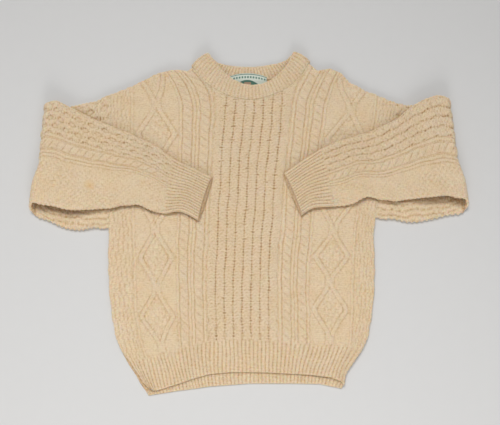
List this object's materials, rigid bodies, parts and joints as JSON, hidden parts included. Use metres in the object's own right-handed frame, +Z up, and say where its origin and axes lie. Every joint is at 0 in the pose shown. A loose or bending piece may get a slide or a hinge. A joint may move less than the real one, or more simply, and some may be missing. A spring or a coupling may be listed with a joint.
{
  "type": "aran sweater",
  "caption": "Crew-neck cable-knit pullover lying flat with both long sleeves folded in over the front; ribbed neck, hem and cuffs.",
  "frame": {"origin": "centre of the whole outline seen from above, on the surface that the sweater lies on", "axes": "+X to the wearer's left, +Y towards the neck, +Z up off the surface, out of the front of the sweater"},
  "size_m": [0.9374, 0.7444, 0.0267],
  "materials": {
    "cream_wool": "cream undyed wool, hand-knit, matt and slightly hairy",
    "label_weave": "pale woven label"
  },
  "bodies": {
    "root": {"back": "cream_wool", "front": "cream_wool", "sleeve_right": "cream_wool", "sleeve_left": "cream_wool", "neckband": "cream_wool", "label": "label_weave"}
  },
  "joints": []
}
